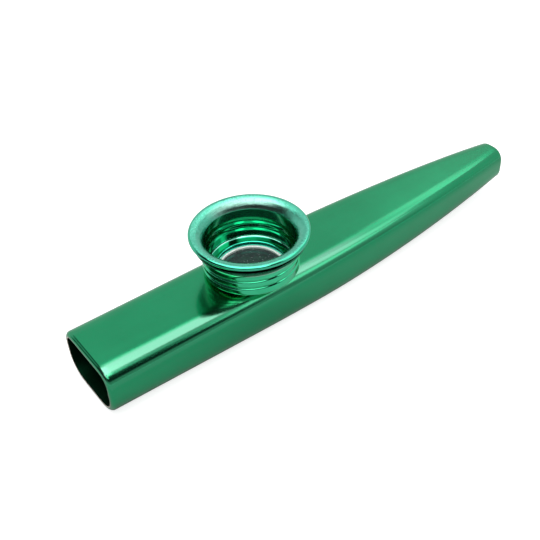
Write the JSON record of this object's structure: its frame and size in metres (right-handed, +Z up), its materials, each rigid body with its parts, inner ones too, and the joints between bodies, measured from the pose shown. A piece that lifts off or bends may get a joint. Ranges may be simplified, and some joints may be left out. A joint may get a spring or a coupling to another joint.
{
  "type": "kazoo",
  "caption": "Tapered metal kazoo with a wide open end, a narrow mouthpiece and a flared screw cap that holds a membrane over a hole in its top.",
  "frame": {"origin": "on the flat underside, below the middle of the tube", "axes": "+X from the wide open end to the mouthpiece, +Z up through the cap, +Y across the tube"},
  "size_m": [0.12, 0.0266, 0.0233],
  "materials": {
    "tube": "green anodised, satin",
    "neck": "green anodised, polished",
    "film": "thin translucent film",
    "ring": "white",
    "cap": "green anodised, polished"
  },
  "bodies": {
    "body": {"tube": "tube", "threaded_neck": "neck"},
    "membrane": {"membrane_film": "film", "membrane_ring": "ring"},
    "cap": {"screw_cap": "cap"}
  },
  "joints": [
    {"name": "cap_turn", "type": "hinge", "parent": "body", "child": "membrane", "pos_m": [-0.018, 0, 0.0126], "axis": [0, 0, 1], "range_deg": [0, 720]},
    {"name": "cap_lift", "type": "slide", "parent": "membrane", "child": "cap", "axis": [0, 0, 1], "range_m": [0, 0.0037]}
  ],
  "couplings": [
    {"joint": "cap_turn", "follows": "cap_lift", "rad_per_m": 3396.3}
  ]
}
